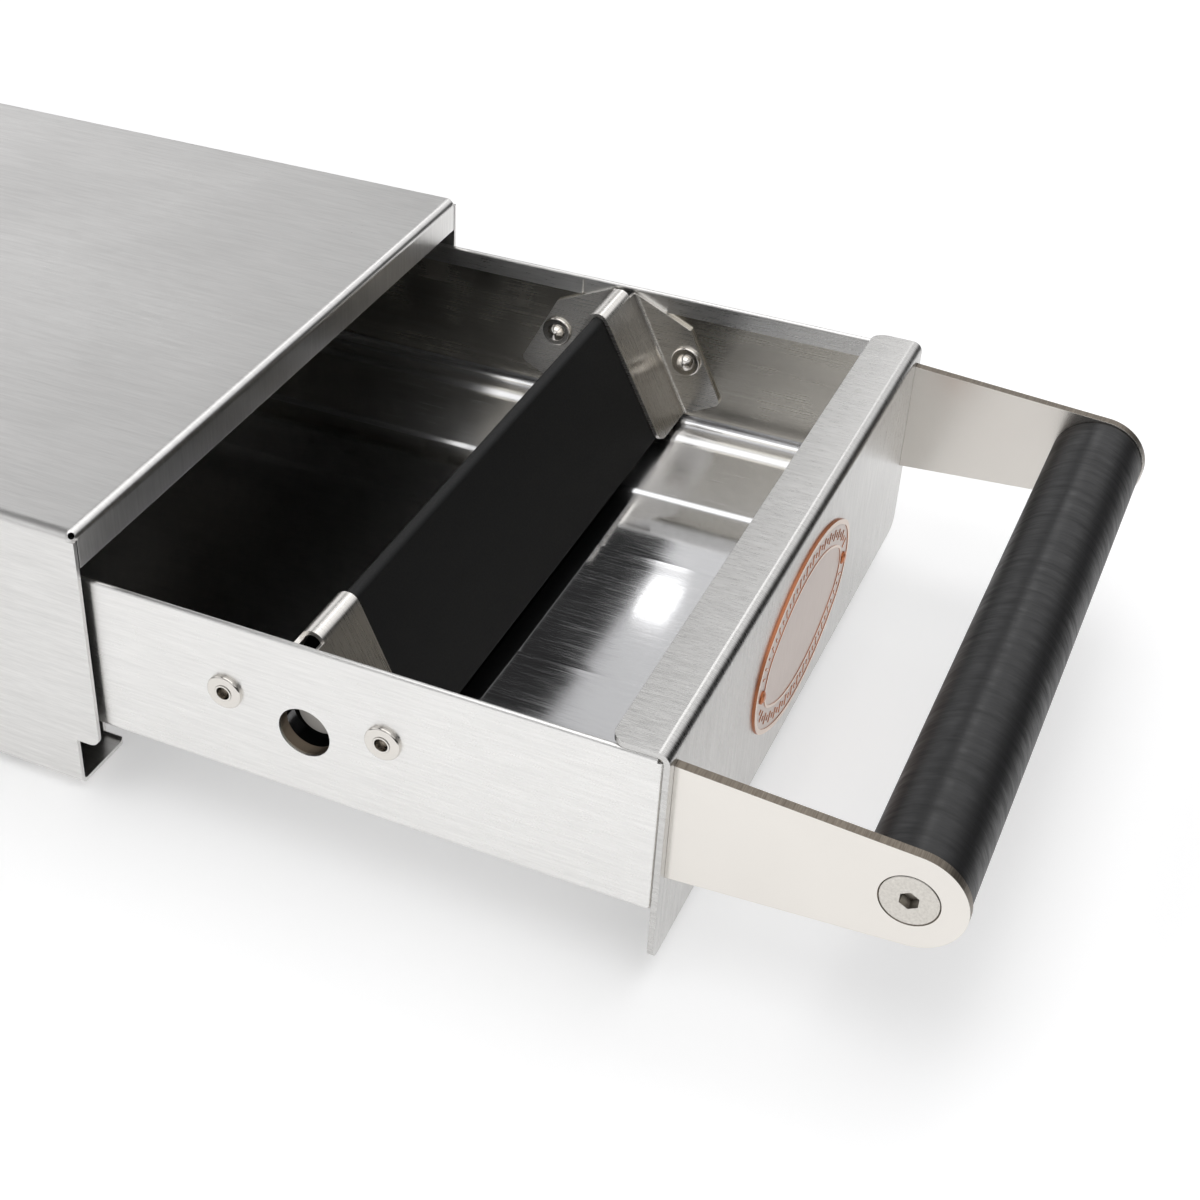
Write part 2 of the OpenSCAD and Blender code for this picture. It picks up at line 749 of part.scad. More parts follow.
// Side view of an arm from the front plate to its round end: along -Y from the plate, Z from the grip's axis
module arm_outline() {
    half = arm_root_h / 2;
    far = norm([grip_reach, half]);
    touch = 180 - atan2(half, grip_reach) - acos(arm_end_r / far);
    edge = [grip_reach + arm_end_r * cos(touch), arm_end_r * sin(touch)];
    translate([face, grip_axis_z]) mirror([1, 0]) {
        polygon([[0, -half], [edge[0], -edge[1]], edge, [0, half]]);
        translate([grip_reach, 0]) circle(arm_end_r);
    }
}

module handle_arm() {
    foot_y = box_inner + arm_t / 2;
    middle = (arm_in + arm_out) / 2;
    color("whitesmoke") difference() {
        union() {
            along_x(arm_in, arm_out) arm_outline();
            translate([0, 0, root_low]) linear_extrude(arm_root_h)
                folded([[arm_in - arm_foot, foot_y], [middle, foot_y], [middle, face]], arm_t, arm_bend);
        }
        front_holes(stud_places, stud_r + shank_gap, box_inner - past, box_inner + arm_t + past);
        translate([arm_out - sink_r + screw_r, grip_axis_y, grip_axis_z]) rotate([0, 90, 0])
            cylinder(r1 = screw_r, r2 = sink_r, h = sink_r - screw_r);
    }
}

module handle_arm_left() {
    mirror([1, 0, 0]) handle_arm();
}

module handle_arm_right() {
    handle_arm();
}

module grip_tube() {
    soft = 0.4;
    inner = grip_r - grip_wall;
    color("black") translate([0, grip_axis_y, grip_axis_z]) rotate([0, 90, 0]) rotate_extrude()
        polygon([[inner, -arm_in], [grip_r - soft, -arm_in], [grip_r, soft - arm_in],
                 [grip_r, arm_in - soft], [grip_r - soft, arm_in], [inner, arm_in]]);
}

module grip_plug() {
    sink = sink_r - arm_t;
    color("dimgray") translate([arm_in, grip_axis_y, grip_axis_z]) rotate([0, -90, 0]) difference() {
        cylinder(r = grip_r - grip_wall - shank_gap, h = plug_l);
        translate([0, 0, -past]) cylinder(r = screw_r, h = plug_l + 2 * past);
        cylinder(r1 = sink, r2 = screw_r, h = sink - screw_r);
    }
}

module grip_plug_left() {
    mirror([1, 0, 0]) grip_plug();
}

module grip_plug_right() {
    grip_plug();
}

module handle_screws() {
    depth = screw_head_r - screw_r;
    place = [arm_out, grip_axis_y, grip_axis_z];
    color("gainsboro") both_sides() translate(place) rotate([0, -90, 0]) difference() {
        union() {
            cylinder(r1 = screw_head_r - head_edge, r2 = screw_head_r, h = head_edge);
            translate([0, 0, head_edge]) cylinder(r1 = screw_head_r, r2 = screw_r - shank_gap, h = depth);
            cylinder(r = screw_r - shank_gap, h = screw_l - screw_tip);
            translate([0, 0, screw_l - screw_tip])
                cylinder(r1 = screw_r - shank_gap, r2 = screw_r - screw_tip, h = screw_tip);
        }
        translate([0, 0, -past]) cylinder(r = socket_r, h = socket_depth + past, $fn = 6);
    }
}

// KNOCK BAR

// Turns and moves the children onto a flank that slopes down towards +Y: the flanks would meet at local z = 0
module on_flank() {
    translate([0, bar_mid, flank_apex_z]) rotate([bar_angle, 0, 0]) children();
}

// Flank of the bracket at the right wall and the wing that is folded from it, along the slope of the flank
module flank_and_wing() {
    fold_x = wall_in - bracket_t / 2;
    on_flank() difference() {
        translate([0, 0, -flank_l]) linear_extrude(flank_l - flank_top)
            folded([[bracket_in, -bracket_t / 2], [fold_x, -bracket_t / 2], [fold_x, wing_w]],
                   bracket_t, bracket_bend);
        along_x(crest_end, wall_in + past) {
            polygon([[-bracket_t - past, -wing_top], [0, -wing_top],
                     [wing_w + past, -wing_top - wing_slope * (wing_w + past)],
                     [wing_w + past, past], [-bracket_t - past, past]]);
            translate([wing_w, -flank_l]) rotate(-90) corner_cut(wing_corner);
        }
        along_y(-bracket_t - past, past) {
            polygon([[bracket_in - past, -flank_top - past], [bracket_in, -flank_top - past],
                     [foot_in, foot_corner + past - flank_l], [foot_in, -flank_l - past],
                     [bracket_in - past, -flank_l - past]]);
            translate([foot_in, -flank_l]) rotate(180) corner_cut(foot_corner);
        }
    }
}

module bar_bracket() {
    color("gainsboro") difference() {
        union() {
            flank_and_wing();
            translate([0, 2 * bar_mid, 0]) mirror([0, 1, 0]) flank_and_wing();
            along_x(bracket_in, crest_end) translate([bar_mid, crest_mid_z]) rotate(bar_angle)
                ring_part(crest_r - bracket_t, crest_r, 180 - 2 * bar_angle);
        }
        side_holes(bar_rivet_places, rivet_r + shank_gap, wall_x);
    }
}

module bar_bracket_left() {
    mirror([1, 0, 0]) bar_bracket();
}

module bar_bracket_right() {
    bar_bracket();
}

module bar_rivets() {
    color("gainsboro") both_sides() {
        for (p = bar_rivet_places) {
            translate([-wall_x, p[0], p[1]]) blind_rivet(tray_t + bracket_t);
        }
    }
}

module bar_collars() {
    place = [wall_in - collar_l, bar_mid, rod_axis_z];
    color("gray") both_sides() translate(place) rotate([0, 90, 0]) difference() {
        cylinder(r = collar_r, h = collar_l);
        translate([0, 0, -past]) cylinder(r = eye_r, h = collar_l + 2 * past);
    }
}

// Section of the rubber bar: two thick flanks, and a boss for the rod between them
module bar_section() {
    skin = bracket_t + bar_fit;
    r = crest_r - skin;
    foot_z = flank_apex_z - (flank_l - bar_foot) * cos(bar_angle);
    outer_apex = flank_apex_z - skin / sin(bar_angle);
    inner_apex = outer_apex - bar_wall / sin(bar_angle);
    half = (outer_apex - foot_z) * tan(bar_angle);
    hollow = (inner_apex - foot_z + past) * tan(bar_angle);
    step = (180 - 2 * bar_angle) / 24;
    apex = [for (k = [0 : 24]) [0, crest_mid_z] + r * [cos(bar_angle + k * step), sin(bar_angle + k * step)]];
    difference() {
        union() {
            difference() {
                polygon(concat([[-half, foot_z], [half, foot_z]], apex));
                polygon([[-hollow, foot_z - past], [hollow, foot_z - past], [0, inner_apex]]);
            }
            translate([0, rod_axis_z]) circle(boss_r);
        }
        translate([0, rod_axis_z]) circle(rod_r + shank_gap);
    }
}

module knock_bar_cover() {
    color("black") along_x(-bar_end, bar_end) translate([bar_mid, 0]) bar_section();
}

module knock_bar_rod() {
    color("silver") translate([-rod_end, bar_mid, rod_axis_z]) rotate([0, 90, 0])
        cylinder(r = rod_r, h = 2 * rod_end);
}

housing_shell();
rear_panel();
rear_panel_rivets();
rubber_feet();
rear_bumpers();
glide_left();
glide_right();
drawer_box();
floor_pan();
front_plate();
plate_nuts();
badge();
badge_pins();
handle_arm_left();
handle_arm_right();
grip_tube();
grip_plug_left();
grip_plug_right();
handle_screws();
bar_bracket_left();
bar_bracket_right();
bar_rivets();
bar_collars();
knock_bar_cover();
knock_bar_rod();
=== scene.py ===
import math

import bmesh
import bpy
from mathutils import Matrix, Vector


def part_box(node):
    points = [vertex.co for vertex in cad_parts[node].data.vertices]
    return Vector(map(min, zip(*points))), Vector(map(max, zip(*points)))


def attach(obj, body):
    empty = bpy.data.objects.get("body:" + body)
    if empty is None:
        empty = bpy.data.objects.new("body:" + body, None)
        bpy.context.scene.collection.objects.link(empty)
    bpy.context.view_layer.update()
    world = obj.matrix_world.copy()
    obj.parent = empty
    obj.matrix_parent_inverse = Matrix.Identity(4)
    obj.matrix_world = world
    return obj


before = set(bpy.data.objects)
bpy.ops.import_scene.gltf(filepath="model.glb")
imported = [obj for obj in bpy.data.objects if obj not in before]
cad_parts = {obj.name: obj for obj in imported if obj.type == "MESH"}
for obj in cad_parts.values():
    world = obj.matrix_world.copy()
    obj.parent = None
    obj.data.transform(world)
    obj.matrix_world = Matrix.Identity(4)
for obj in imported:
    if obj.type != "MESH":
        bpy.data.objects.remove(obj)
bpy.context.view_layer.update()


# HOUSING SHELL AND BACK PANEL
# The housing is one sheet of 1.2 mm stainless steel, cut, brushed along its length and folded: top, sides,
# bottom flanges, runners and a lip at the front. The back panel is a second folded sheet, riveted in.

MM = 0.001
# nearly all values of a noise lie between these two
MOST_NOISE = {1: 0.3, 2: 0.7}


def linear(code):
    """The linear colour of an sRGB hex value."""
    parts = [int(code[i:i + 2], 16) / 255 for i in (0, 2, 4)]
    return [c / 12.92 if c <= 0.04045 else ((c + 0.055) / 1.055) ** 2.4 for c in parts] + [1.0]


def add(tree, kind, inputs=None, **settings):
    """Adds one node, sets its settings, and gives each input a value or a link.

    Inputs that share a name go by number. MapRange: 0 is the value, 1 and 2 its range, 3 and 4 the new range.
    Mix: 0 is the factor, 4 and 5 are two vectors, 6 and 7 two colours.
    """
    node = tree.nodes.new("ShaderNode" + kind)
    for name, value in settings.items():
        setattr(node, name, value)
    for key, value in (inputs or {}).items():
        if isinstance(value, bpy.types.NodeSocket):
            tree.links.new(value, node.inputs[key])
        else:
            node.inputs[key].default_value = value
    return node


def new_material(name):
    """A material with an empty tree, and that tree."""
    made = bpy.data.materials.new(name)
    made.use_nodes = True
    made.node_tree.nodes.clear()
    return made, made.node_tree


def finish_material(tree, shader):
    """Ends a material's tree with its shader."""
    add(tree, "OutputMaterial", {"Surface": shader.outputs[0]})


def dress(material, *nodes):
    """Puts a material on all slots of CAD nodes."""
    for name in nodes:
        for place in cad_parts[name].material_slots:
            place.material = material


def lie_of_grain(tree):
    """How far a face looks along X, from 0 to 1, and the direction across its grain.

    The sheen of a brushed or rolled face spreads across the grain.
    """
    turns_from, turns_to = 0.3, 0.7
    normal = add(tree, "NewGeometry").outputs["Normal"]
    facing = add(tree, "VectorMath", {0: normal}, operation="ABSOLUTE").outputs[0]
    along_x = add(tree, "SeparateXYZ", {0: facing}).outputs["X"]
    sideways = add(tree, "MapRange", {
        0: along_x, 1: turns_from, 2: turns_to}, interpolation_type="SMOOTHSTEP").outputs[0]
    across = add(tree, "Mix", {
        0: sideways, 4: (1, 0, 0), 5: (0, 0, 1)}, data_type="VECTOR").outputs[1]
    return sideways, across


def brushed_finish(tree, light, dark, roughness, line_mm, length_mm, depth_mm):
    """Stainless sheet brushed with a belt: fine short lines, and a sheen that spreads across them.

    The lines run along Y on the top and the sides, and turn down with the folds on faces that look along Y.
    line_mm is the width of a line. Real ones are 0.05 mm wide, too fine to show, so they are drawn coarser.
    """
    streak_lines, cloud_mm, edge_mm = 3, 60, 0.15
    rubbed_change, handled_change = 0.15, 0.02
    dark_at, light_at = 0.65, 1.35
    place = add(tree, "TexCoord").outputs["Object"]
    sideways, spread = lie_of_grain(tree)
    across, along = 1 / (line_mm * MM), 1 / (length_mm * MM)
    rise = add(tree, "MapRange", {0: sideways, 3: along, 4: across}).outputs[0]
    scale = add(tree, "CombineXYZ", {0: across, 1: along, 2: rise}).outputs[0]
    stretched = add(tree, "VectorMath", {0: place, 1: scale}, operation="MULTIPLY").outputs[0]
    lines = add(tree, "TexNoise", {
        "Vector": stretched, "Scale": 1.0, "Detail": 3.0, "Roughness": 0.6}).outputs[0]
    # broad streaks, where the belt pressed harder
    streaks = add(tree, "TexNoise", {
        "Vector": stretched, "Scale": 1 / streak_lines, "Detail": 2.0, "Roughness": 0.5}).outputs[0]
    # clouds left by hands
    clouds = add(tree, "TexNoise", {
        "Vector": place, "Scale": 1 / (cloud_mm * MM), "Detail": 2.0}).outputs[0]
    grain = add(tree, "Math", {0: lines, 1: streaks}, operation="ADD").outputs[0]
    tone = add(tree, "MapRange", {0: grain, 1: dark_at, 2: light_at}).outputs[0]
    colour = add(tree, "Mix", {
        0: tone, 6: linear(dark), 7: linear(light)}, data_type="RGBA").outputs[2]
    rubbed = add(tree, "MapRange", {
        0: lines, **MOST_NOISE,
        3: roughness * (1 - rubbed_change), 4: roughness * (1 + rubbed_change)}).outputs[0]
    handled = add(tree, "MapRange", {
        0: clouds, **MOST_NOISE, 3: -handled_change, 4: handled_change}).outputs[0]
    rough = add(tree, "Math", {0: rubbed, 1: handled}, operation="ADD").outputs[0]
    edge = add(tree, "Bevel", {"Radius": edge_mm * MM}, samples=4).outputs[0]
    relief = add(tree, "Bump", {
        "Height": grain, "Strength": 0.5, "Distance": depth_mm * MM, "Normal": edge}).outputs[0]
    return add(tree, "BsdfPrincipled", {
        "Base Color": colour, "Metallic": 1.0, "Roughness": rough, "Anisotropic": 0.8,
        "Tangent": spread, "Normal": relief})


def brushed_stainless(name, **finish):
    """A material that is this brushed finish all over."""
    material, tree = new_material(name)
    finish_material(tree, brushed_finish(tree, **finish))
    return material


housing_sheet = brushed_stainless(
    "brushed_stainless_sheet", light="edecea", dark="dbdad8", roughness=0.34,
    line_mm=0.3, length_mm=5, depth_mm=0.012)
dress(housing_sheet, "housing_shell", "rear_panel")


# BACK PANEL RIVETS
# Blind rivets of nickel-plated steel, 4.8 mm, pulled from outside. Their flanges are pressed domes with a
# hole where the mandrel broke off.

def painted_shade_in_holes(tree, colour):
    """The colour, with painted shade: dark brown in holes and corners that are narrow."""
    hole_mm, deep_shade_at, unshaded = 2, 0.3, 0.8
    open_sky = add(tree, "AmbientOcclusion", {
        "Distance": hole_mm * MM}, samples=8, only_local=True).outputs["AO"]
    patch_mask = add(tree, "MapRange", {0: open_sky, 1: deep_shade_at, 2: unshaded}).outputs[0]
    # painted shade: dark brown where the hollow is deep, fading to the colour where it opens
    return add(tree, "Mix", {0: patch_mask, 6: linear("3b2e24"), 7: colour}, data_type="RGBA").outputs[2]


def nickel_plated_steel():
    """Nickel plating over pressed steel: bright, with a faint mottle that breaks up its reflections, and
    painted shade in its hole.
    """
    roughness, change, mottle_mm, edge_mm, depth_mm = 0.15, 0.3, 1.5, 0.2, 0.02
    material, tree = new_material("nickel_plated_steel")
    place = add(tree, "TexCoord").outputs["Object"]
    mottle = add(tree, "TexNoise", {
        "Vector": place, "Scale": 1 / (mottle_mm * MM), "Detail": 3.0}).outputs[0]
    rough = add(tree, "MapRange", {
        0: mottle, **MOST_NOISE, 3: roughness * (1 - change), 4: roughness * (1 + change)}).outputs[0]
    edge = add(tree, "Bevel", {"Radius": edge_mm * MM}, samples=4).outputs[0]
    relief = add(tree, "Bump", {
        "Height": mottle, "Strength": 0.2, "Distance": depth_mm * MM, "Normal": edge}).outputs[0]
    finish_material(tree, add(tree, "BsdfPrincipled", {
        # painted shade: dark brown in the rivet's mandrel hole and other narrow hollows
        "Base Color": painted_shade_in_holes(tree, linear("dedad4")), "Metallic": 1.0, "Roughness": rough,
        "Normal": relief}))
    return material


fixing_metal = nickel_plated_steel()
dress(fixing_metal, "rear_panel_rivets")


# FEET AND BUMPERS
# Moulded buttons of black nitrile rubber. Four are glued under the bottom flanges as feet, and two on the
# inside of the back panel, where they stop the drawer.

def black_rubber(name, colour, roughness, grain_mm, depth_mm):
    """Moulded or extruded black rubber: matt, with a fine even grain.

    grain_mm is drawn coarser than the real grain of 0.2 mm, which would not show.
    """
    change, edge_mm = 0.05, 0.3
    material, tree = new_material(name)
    place = add(tree, "TexCoord").outputs["Object"]
    grain = add(tree, "TexNoise", {
        "Vector": place, "Scale": 1 / (grain_mm * MM), "Detail": 2.0}).outputs[0]
    rough = add(tree, "MapRange", {
        0: grain, **MOST_NOISE, 3: roughness - change, 4: roughness + change}).outputs[0]
    edge = add(tree, "Bevel", {"Radius": edge_mm * MM}, samples=4).outputs[0]
    relief = add(tree, "Bump", {
        "Height": grain, "Strength": 0.5, "Distance": depth_mm * MM, "Normal": edge}).outputs[0]
    finish_material(tree, add(tree, "BsdfPrincipled", {
        "Base Color": linear(colour), "Roughness": rough, "IOR": 1.52, "Specular IOR Level": 0.3,
        "Normal": relief}))
    return material


button_rubber = black_rubber(
    "moulded_nitrile_rubber", "1d1d1e", roughness=0.7, grain_mm=0.8, depth_mm=0.05)
dress(button_rubber, "rubber_feet", "rear_bumpers")


# GLIDES
# Extruded channels of black polyamide, cut to length and pushed over the upper edges of the runners. The
# drawer slides on them.

def extruded_polyamide():
    """Extruded nylon: dull, with faint die lines along Y. They are drawn coarser than real ones, to show."""
    line_mm, length_mm, depth_mm = 0.4, 80, 0.03
    material, tree = new_material("extruded_polyamide")
    place = add(tree, "TexCoord").outputs["Object"]
    scale = (1 / (line_mm * MM), 1 / (length_mm * MM), 1 / (line_mm * MM))
    stretched = add(tree, "VectorMath", {0: place, 1: scale}, operation="MULTIPLY").outputs[0]
    lines = add(tree, "TexNoise", {"Vector": stretched, "Scale": 1.0, "Detail": 1.0}).outputs[0]
    relief = add(tree, "Bump", {
        "Height": lines, "Strength": 0.4, "Distance": depth_mm * MM}).outputs[0]
    finish_material(tree, add(tree, "BsdfPrincipled", {
        "Base Color": linear("2b2b2c"), "Roughness": 0.45, "IOR": 1.53, "Normal": relief}))
    return material


dress(extruded_polyamide(), "glide_left", "glide_right")


# DRAWER BOX
# Four walls of 0.8 mm stainless steel with rounded corners, a closed hem along the rim, and flanges turned
# in under the floor. The sheet is brushed on the outside, which shows again on the inner leaf of the hem. Its
# inside is as the mill left it.

def mill_finish(tree, light, dark, roughness, scatter, line_mm, length_mm, surface=None, drawn=None):
    """Bright cold-rolled sheet: almost a mirror, with roll lines along Y, duller than the rest.

    scatter is how much rougher those lines are. They are 0.02 mm wide in the real sheet, too fine to show,
    so they are drawn line_mm wide. surface is a normal to start from. drawn is how far the press drew the
    sheet at a place, from 0 to 1, which dulls it.
    """
    wiped_mm, wiped_change, drawn_dullness, depth_mm = 15, 0.2, 0.16, 0.004
    scatters_from, scatters_to = 0.5, 0.72
    across_grain = lie_of_grain(tree)[1]
    place = add(tree, "TexCoord").outputs["Object"]
    scale = (1 / (line_mm * MM), 1 / (length_mm * MM), 1 / (line_mm * MM))
    stretched = add(tree, "VectorMath", {0: place, 1: scale}, operation="MULTIPLY").outputs[0]
    lines = add(tree, "TexNoise", {
        "Vector": stretched, "Scale": 1.0, "Detail": 3.0, "Roughness": 0.6}).outputs[0]
    # dull patches, where spent coffee was wiped out
    patch_mask = add(tree, "TexNoise", {
        "Vector": place, "Scale": 1 / (wiped_mm * MM), "Detail": 3.0}).outputs[0]
    colour = add(tree, "Mix", {
        0: lines, 6: linear(dark), 7: linear(light)}, data_type="RGBA").outputs[2]
    patchy = add(tree, "MapRange", {
        0: patch_mask, **MOST_NOISE,
        3: roughness * (1 - wiped_change), 4: roughness * (1 + wiped_change)}).outputs[0]
    rolled = add(tree, "MapRange", {
        0: lines, 1: scatters_from, 2: scatters_to, 3: 0.0, 4: scatter}).outputs[0]
    rough = add(tree, "Math", {0: patchy, 1: rolled}, operation="ADD").outputs[0]
    if drawn is not None:
        duller = add(tree, "Math", {0: rough, 1: drawn_dullness}, operation="ADD").outputs[0]
        rough = add(tree, "MapRange", {0: drawn, 3: rough, 4: duller}).outputs[0]
    ridges = {"Height": lines, "Strength": 0.3, "Distance": depth_mm * MM}
    if surface is not None:
        ridges["Normal"] = surface
    relief = add(tree, "Bump", ridges).outputs[0]
    return add(tree, "BsdfPrincipled", {
        "Base Color": colour, "Metallic": 1.0, "Roughness": rough, "Anisotropic": 0.4,
        "Tangent": across_grain, "Normal": relief})


def tray_stainless():
    """Brushed outside and mill-bright inside, with an edge between them that runs within the sheet."""
    material, tree = new_material("stainless_tray_sheet")
    brushed = brushed_finish(
        tree, light="f3f2f0", dark="e4e3e1", roughness=0.3, line_mm=0.25, length_mm=6, depth_mm=0.01)
    mill = mill_finish(
        tree, light="dcd8cf", dark="ccc7bc", roughness=0.24, scatter=0.05, line_mm=0.5, length_mm=30)
    # the inside is a box that ends in the middle of the sheet, and under the hem's inner leaf
    half_sheet, hem_leaf = 0.4 * MM, 6 * MM
    low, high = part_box("drawer_box")
    inner_low = low + Vector((half_sheet, half_sheet, half_sheet))
    inner_high = high - Vector((half_sheet, half_sheet, hem_leaf))
    place = add(tree, "TexCoord").outputs["Object"]
    above = add(tree, "VectorMath", {0: place, 1: inner_low}, operation="SUBTRACT").outputs[0]
    below = add(tree, "VectorMath", {0: inner_high, 1: place}, operation="SUBTRACT").outputs[0]
    nearest = add(tree, "VectorMath", {0: above, 1: below}, operation="MINIMUM").outputs[0]
    room = add(tree, "SeparateXYZ", {0: nearest})
    least = add(tree, "Math", {0: room.outputs["X"], 1: room.outputs["Y"]}, operation="MINIMUM")
    least = add(tree, "Math", {0: least.outputs[0], 1: room.outputs["Z"]}, operation="MINIMUM")
    inside = add(tree, "Math", {0: least.outputs[0], 1: 0.0}, operation="GREATER_THAN").outputs[0]
    finish_material(tree, add(tree, "MixShader", {
        0: inside, 1: brushed.outputs[0], 2: mill.outputs[0]}))
    return material


dress(tray_stainless(), "drawer_box")


# FLOOR PAN
# A sheet of cold-rolled stainless steel, laid on the flanges and turned up at the walls. The mill left it
# bright, so it mirrors the walls and the bar, and each crease that the press left in it catches the light.

def pressed_creases(tree):
    """The floor's normal, tilted at each crease, and how far the press drew the sheet, from 0 to 1."""
    place = add(tree, "TexCoord").outputs["Object"]
    sideways = add(tree, "SeparateXYZ", {0: place}).outputs["X"]
    off_middle = add(tree, "Math", {0: sideways}, operation="ABSOLUTE").outputs[0]
    # the solid rises evenly between these two places, where the real sheet has sprung back flat
    rise_from, rise_to, rise = 28 * MM, 56 * MM, 0.4 * MM
    height = add(tree, "MapRange", {
        0: off_middle, 1: rise_from, 2: rise_to, 3: 0.0, 4: -rise}).outputs[0]
    # where each crease starts and ends from the middle of the drawer, and how high its side stands, in mm
    for start, end, side in ((56.9, 60.4, 0.65), (88.0, 95.0, 1.9)):
        step = add(tree, "MapRange", {
            0: off_middle, 1: start * MM, 2: end * MM, 3: 0.0, 4: side * MM},
            interpolation_type="SMOOTHSTEP").outputs[0]
        height = add(tree, "Math", {0: height, 1: step}, operation="ADD").outputs[0]
    surface = add(tree, "Bump", {"Height": height, "Strength": 1.0, "Distance": 1.0}).outputs[0]
    drawn_from, drawn_to = 50 * MM, 58 * MM
    drawn = add(tree, "MapRange", {0: off_middle, 1: drawn_from, 2: drawn_to}).outputs[0]
    return surface, drawn


def cold_rolled_pan():
    """Bright mill finish, duller where the press drew the sheet, with creases that end softly."""
    material, tree = new_material("cold_rolled_stainless_pan")
    surface, drawn = pressed_creases(tree)
    finish_material(tree, mill_finish(
        tree, light="e8e8e8", dark="d6d6d8", roughness=0.05, scatter=0.07, line_mm=0.25, length_mm=14,
        surface=surface, drawn=drawn))
    return material


dress(cold_rolled_pan(), "floor_pan")


# FRONT PLATE
# A 1.5 mm plate of brushed stainless steel, folded over the front of the drawer, with four studs welded on
# its back and two slots for the handle's arms. Its grain runs over the lip and down the front.

# painted shade: the plate is the housing's steel, drawn darker all over
plate_sheet = brushed_stainless(
    "brushed_stainless_plate_painted_shade", light="d9d8d6", dark="c3c2c0", roughness=0.3,
    line_mm=0.3, length_mm=4, depth_mm=0.01)
dress(plate_sheet, "front_plate")


# PLATE NUTS
# Domed M4 nuts of nickel-plated steel, two to an arm. They sit on the plate's studs inside the drawer and
# hold the plate and the feet of the arms.

dress(fixing_metal, "plate_nuts")


# BADGE
# An oval plate of copper, etched and thinly enamelled: a pale field between raised lines, with a ring of
# raised ticks along the rim. Two copper rivets hold it on the plate.

def etched_copper_badge():
    """Copper etched back between its raised lines: pale, finely brushed faces and warm, darker edges.

    A thin enamel lies over it, so it mirrors half as much as bare copper.
    """
    relief_mm, edge_mm, depth_mm = 0.2, 0.15, 0.02
    # brushed up and down, in lines that are drawn coarser than real ones, to show
    line_mm, step_mm, length_mm = 0.3, 1, 6
    # how far along Y a face looks where it starts to count as flat, and where it is flat
    slant, upright = -0.8, -0.95
    material, tree = new_material("etched_copper_badge")
    place = add(tree, "TexCoord").outputs["Object"]
    scale = (1 / (line_mm * MM), 1 / (step_mm * MM), 1 / (length_mm * MM))
    stretched = add(tree, "VectorMath", {0: place, 1: scale}, operation="MULTIPLY").outputs[0]
    brushed = add(tree, "TexNoise", {"Vector": stretched, "Scale": 1.0, "Detail": 2.0}).outputs[0]
    normal = add(tree, "NewGeometry").outputs["True Normal"]
    forward = add(tree, "SeparateXYZ", {0: normal}).outputs["Y"]
    flat = add(tree, "MapRange", {0: forward, 1: slant, 2: upright}).outputs[0]
    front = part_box("badge")[0].y
    depth = add(tree, "SeparateXYZ", {0: place}).outputs["Y"]
    raised = add(tree, "MapRange", {
        0: depth, 1: front + relief_mm * MM, 2: front + relief_mm * MM / 2}).outputs[0]
    field = add(tree, "Mix", {
        0: brushed, 6: linear("c9b9b0"), 7: linear("ded2cb")}, data_type="RGBA").outputs[2]
    face = add(tree, "Mix", {0: raised, 6: field, 7: linear("f0dfd2")}, data_type="RGBA").outputs[2]
    colour = add(tree, "Mix", {0: flat, 6: linear("c17a54"), 7: face}, data_type="RGBA").outputs[2]
    edge = add(tree, "Bevel", {"Radius": edge_mm * MM}, samples=4).outputs[0]
    relief = add(tree, "Bump", {
        "Height": brushed, "Strength": 0.3, "Distance": depth_mm * MM, "Normal": edge}).outputs[0]
    finish_material(tree, add(tree, "BsdfPrincipled", {
        "Base Color": colour, "Metallic": 0.5, "Roughness": 0.35, "Normal": relief}))
    return material


def turned_copper():
    """Turned copper: warm and bright, with a slight tarnish in patches."""
    patch_mm = 1.2
    material, tree = new_material("turned_copper")
    place = add(tree, "TexCoord").outputs["Object"]
    patches = add(tree, "TexNoise", {
        "Vector": place, "Scale": 1 / (patch_mm * MM), "Detail": 3.0}).outputs[0]
    colour = add(tree, "Mix", {
        0: patches, 6: linear("a8623e"), 7: linear("d08a62")}, data_type="RGBA").outputs[2]
    finish_material(tree, add(tree, "BsdfPrincipled", {
        "Base Color": colour, "Metallic": 1.0, "Roughness": 0.3}))
    return material


badge_copper = etched_copper_badge()
dress(badge_copper, "badge")
dress(turned_copper(), "badge_pins")


